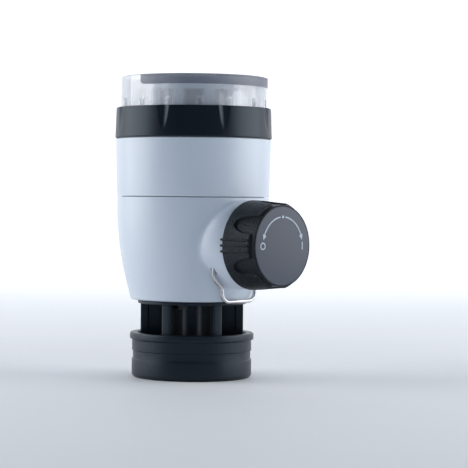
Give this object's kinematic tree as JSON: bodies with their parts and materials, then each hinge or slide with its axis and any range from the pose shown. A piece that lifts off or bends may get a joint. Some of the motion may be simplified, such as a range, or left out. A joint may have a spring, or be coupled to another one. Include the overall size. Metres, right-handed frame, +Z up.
{
  "type": "water pre-filter backwash valve",
  "caption": "Filter bowl foot with quarter-turn flush valve, side knob, union nut, wire clip, air-gap cage and drain foot.",
  "frame": {"origin": "centre of the drain socket's mouth, in the plane of the foot's underside, on the body's vertical axis", "axes": "+Z up along the body's axis, out of the bowl; the side knob points along -Y"},
  "size_m": [0.092, 0.1175, 0.1755],
  "materials": {
    "satin_black": "satin moulded",
    "nut_black": "satin moulded",
    "dark_plastic": "moulded",
    "housing_white": "semi-gloss moulded",
    "knob_black": "fine spark-eroded texture",
    "face_slate": "satin",
    "mark_white": "printed",
    "clear_bowl": "clear moulded",
    "label_grey": "translucent film",
    "rubber": "matte",
    "seat_white": "PTFE",
    "insert_grey": "moulded",
    "mesh_steel": "woven mesh",
    "steel": "zinc plated",
    "clip_steel": "polished wire",
    "chrome_ball": "polished",
    "stem_brass": "turned"
  },
  "bodies": {
    "housing": {"drain_cup": "satin_black", "airgap_cage": "satin_black", "cage_screws": "steel", "drain_nozzle": "dark_plastic", "nozzle_seal": "rubber", "valve_housing": "housing_white", "bowl_housing": "housing_white", "tie_screws": "steel", "dirt_funnel": "dark_plastic", "funnel_seals": "rubber", "ball_seats": "seat_white", "valve_bonnet": "dark_plastic", "bonnet_seal": "rubber", "clear_bowl": "clear_bowl", "bowl_seal": "rubber", "bowl_label": "label_grey", "filter_base": "insert_grey", "filter_frame": "insert_grey", "filter_mesh": "mesh_steel", "filter_collar": "insert_grey"},
    "knob": {"valve_ball": "chrome_ball", "valve_stem": "stem_brass", "stem_seals": "rubber", "knob_body": "knob_black", "knob_face": "face_slate", "knob_marks": "mark_white", "knob_screw": "steel"},
    "clip": {"retaining_clip": "clip_steel"},
    "glide": {"slip_ring": "seat_white"},
    "nut": {"union_nut": "nut_black"}
  },
  "joints": [
    {"name": "knob_turn", "type": "hinge", "parent": "housing", "child": "knob", "pos_m": [0, -0.0484, 0.0784], "axis": [0, 1, 0], "range_deg": [0, 90]},
    {"name": "clip_pull", "type": "slide", "parent": "housing", "child": "clip", "axis": [0, 0, -1], "range_m": [0, 0.02]},
    {"name": "nut_lift", "type": "slide", "parent": "housing", "child": "glide", "axis": [0, 0, 1], "range_m": [0, 0.00801]},
    {"name": "nut_turn", "type": "hinge", "parent": "glide", "child": "nut", "pos_m": [0, 0, 0.15], "axis": [0, 0, 1], "range_deg": [0, 720]}
  ],
  "couplings": [
    {"joint": "nut_lift", "follows": "nut_turn", "m_per_rad": 0.00063662}
  ]
}
